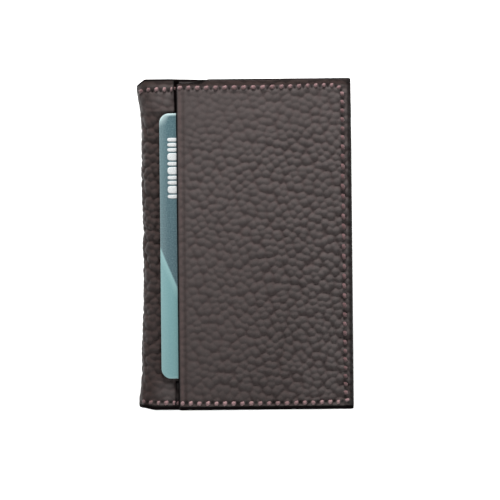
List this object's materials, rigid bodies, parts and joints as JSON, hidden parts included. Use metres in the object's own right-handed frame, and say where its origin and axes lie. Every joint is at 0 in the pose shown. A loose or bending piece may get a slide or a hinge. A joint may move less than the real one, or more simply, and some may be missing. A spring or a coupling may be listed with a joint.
{
  "type": "bifold card wallet",
  "caption": "Slim bifold leather wallet with an outside card pocket, a card in it, and stepped pockets inside each half.",
  "frame": {"origin": "middle of the closed wallet's back face, which lies on the table", "axes": "+X from the spine to the free edge, +Y to the top edge, +Z out of the front cover"},
  "size_m": [0.069, 0.107, 0.0114],
  "materials": {
    "hide": "pebbled, semi-matt",
    "hide_inner": "pebbled, matt",
    "board": "bonded leather board, raw",
    "lining": "fine plain weave",
    "thread": "waxed polyester thread",
    "card": "satin printed"
  },
  "bodies": {
    "back_half": {"back_cover": "hide", "back_stiffener": "board", "back_lining": "lining", "back_note_pocket": "hide_inner", "back_card_slot_upper": "hide_inner", "back_card_slot_lower": "hide_inner", "back_outer_thread": "thread", "back_inner_thread": "thread"},
    "spine": {"spine_cover": "hide", "spine_lining": "lining", "spine_thread_bottom": "thread", "spine_thread_top": "thread"},
    "front_half": {"front_cover": "hide", "front_stiffener": "board", "front_lining": "lining", "front_note_pocket": "hide_inner", "front_card_slot_upper": "hide_inner", "front_card_slot_lower": "hide_inner", "outer_pocket": "hide", "outer_pocket_mouth_hem": "hide", "outer_pocket_side_hem": "hide", "outer_pocket_bottom_hem": "hide", "outer_pocket_top_hem": "hide", "front_outer_thread": "thread", "front_strip_thread_bottom": "thread", "front_strip_thread_top": "thread", "front_inner_thread": "thread"},
    "card_body": {"card": "card"}
  },
  "joints": [
    {"name": "spine_fold", "type": "hinge", "parent": "back_half", "child": "spine", "pos_m": [-0.03355, 0, 0.00095], "axis": [0, -1, 0], "range_deg": [0, 90]},
    {"name": "cover_fold", "type": "hinge", "parent": "spine", "child": "front_half", "pos_m": [-0.03355, 0, 0.00795], "axis": [0, -1, 0], "range_deg": [0, 90]},
    {"name": "card_slide", "type": "slide", "parent": "front_half", "child": "card_body", "axis": [-1, 0, 0], "range_m": [-0.005, 0.046]}
  ],
  "couplings": [
    {"joint": "spine_fold", "follows": "cover_fold", "ratio": 1}
  ]
}
